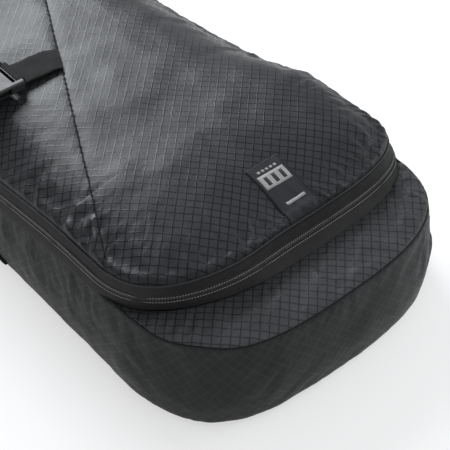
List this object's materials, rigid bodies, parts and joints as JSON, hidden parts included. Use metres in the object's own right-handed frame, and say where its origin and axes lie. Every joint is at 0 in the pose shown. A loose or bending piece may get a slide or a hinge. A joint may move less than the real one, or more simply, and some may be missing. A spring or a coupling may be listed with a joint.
{
  "type": "snowboard bag",
  "caption": "Long padded bag for a snowboard: foam-lined tub with rounded ends, domed zip-open lid with diagonal seams, compression straps with side-release buckles and carrying handles.",
  "frame": {"origin": "middle of the flat back face, on the surface that the bag lies on", "axes": "X across the bag, +Y from the tail end towards the head end along its length, +Z from the back to the lid"},
  "size_m": [0.3712, 1.6556, 0.1733],
  "materials": {
    "base_fabric": "matte coated fabric",
    "foam": "closed-cell foam",
    "lining": "smooth lining",
    "gusset_fabric": "woven, slight sheen",
    "ripstop": "ripstop weave with a fine grid, slight sheen",
    "piping": "folded binding",
    "zipper_tape": "twill tape",
    "zipper_coil": "nylon coil",
    "buckle_plastic": "moulded acetal",
    "label": "woven label",
    "webbing": "polyester webbing",
    "grip": "soft moulded grip",
    "slider_metal": "black painted zinc"
  },
  "bodies": {
    "bag": {"back_panel": "base_fabric", "back_foam": "foam", "gusset_tail": "gusset_fabric", "gusset_head": "gusset_fabric", "gusset_left": "gusset_fabric", "gusset_right": "gusset_fabric", "wall_foam_tail": "foam", "wall_foam_head": "foam", "wall_foam_left": "foam", "wall_foam_right": "foam", "tub_lining": "lining", "base_piping": "piping", "tail_deck": "ripstop", "tail_piping": "piping", "head_deck": "ripstop", "head_deck_foam": "foam", "head_piping": "piping", "zipper_tape_lower": "zipper_tape", "zipper_coil_lower": "zipper_coil", "zipper_stop_left": "buckle_plastic", "zipper_stop_right": "buckle_plastic", "handle_patches_left": "webbing", "handle_patches_right": "webbing", "handle_patches_head": "webbing", "base_tabs": "webbing"},
    "lid": {"zipper_coil_upper": "zipper_coil", "zipper_tape_upper": "zipper_tape", "lid_panel_middle": "ripstop", "lid_panel_tail": "ripstop", "lid_panel_head": "ripstop", "lid_foam": "foam", "lid_lining": "lining", "lid_edge_binding": "piping", "seam_tape_tail": "piping", "seam_tape_head": "piping", "label": "label", "buckle_male_tail": "buckle_plastic", "strap_adjust_tail": "webbing", "strap_fixed_tail": "webbing", "buckle_male_head": "buckle_plastic", "strap_adjust_head": "webbing", "strap_fixed_head": "webbing"},
    "buckle_tail": {"buckle_female_tail": "buckle_plastic", "strap_loop_tail": "webbing"},
    "buckle_head": {"buckle_female_head": "buckle_plastic", "strap_loop_head": "webbing"},
    "zip_slider_tail": {"slider_tail": "slider_metal"},
    "zip_pull_tail": {"pull_tail": "slider_metal", "pull_grip_tail": "grip"},
    "zip_slider_head": {"slider_head": "slider_metal"},
    "zip_pull_head": {"pull_head": "slider_metal", "pull_grip_head": "grip"},
    "handle_left": {"handle_strap_left": "webbing", "handle_grip_left": "grip"},
    "handle_right": {"handle_strap_right": "webbing", "handle_grip_right": "grip"},
    "handle_head": {"handle_strap_head": "webbing", "handle_grip_head": "grip"}
  },
  "joints": [
    {"name": "lid_hinge", "type": "hinge", "parent": "bag", "child": "lid", "pos_m": [0, 0.66, 0.113], "axis": [-1, 0, 0], "range_deg": [0, 105]},
    {"name": "buckle_tail_release", "type": "slide", "parent": "lid", "child": "buckle_tail", "axis": [1, 0, 0], "range_m": [0, 0.04], "deforming": ["strap_fixed_tail"]},
    {"name": "buckle_head_release", "type": "slide", "parent": "lid", "child": "buckle_head", "axis": [1, 0, 0], "range_m": [0, 0.04], "deforming": ["strap_fixed_head"]},
    {"name": "zip_slide_tail", "type": "slide", "parent": "bag", "child": "zip_slider_tail", "axis": [0, -1, 0], "range_m": [0, 0.16]},
    {"name": "zip_slide_head", "type": "slide", "parent": "bag", "child": "zip_slider_head", "axis": [0, 1, 0], "range_m": [0, 0.61]},
    {"name": "pull_swing_tail", "type": "hinge", "parent": "zip_slider_tail", "child": "zip_pull_tail", "pos_m": [-0.1788, -0.2354, 0.095], "axis": [0, 0, -1], "range_deg": [0, 150]},
    {"name": "pull_swing_head", "type": "hinge", "parent": "zip_slider_head", "child": "zip_pull_head", "pos_m": [-0.1788, -0.2146, 0.095], "axis": [0, 0, 1], "range_deg": [0, 150]},
    {"name": "handle_swing_left", "type": "hinge", "parent": "bag", "child": "handle_left", "pos_m": [-0.182, 0, 0.062], "axis": [0, 1, 0], "range_deg": [0, 170]},
    {"name": "handle_swing_right", "type": "hinge", "parent": "bag", "child": "handle_right", "pos_m": [0.182, 0, 0.062], "axis": [0, -1, 0], "range_deg": [0, 170]},
    {"name": "handle_swing_head", "type": "hinge", "parent": "bag", "child": "handle_head", "pos_m": [0, 0.827, 0.062], "axis": [1, 0, 0], "range_deg": [0, 140]}
  ]
}
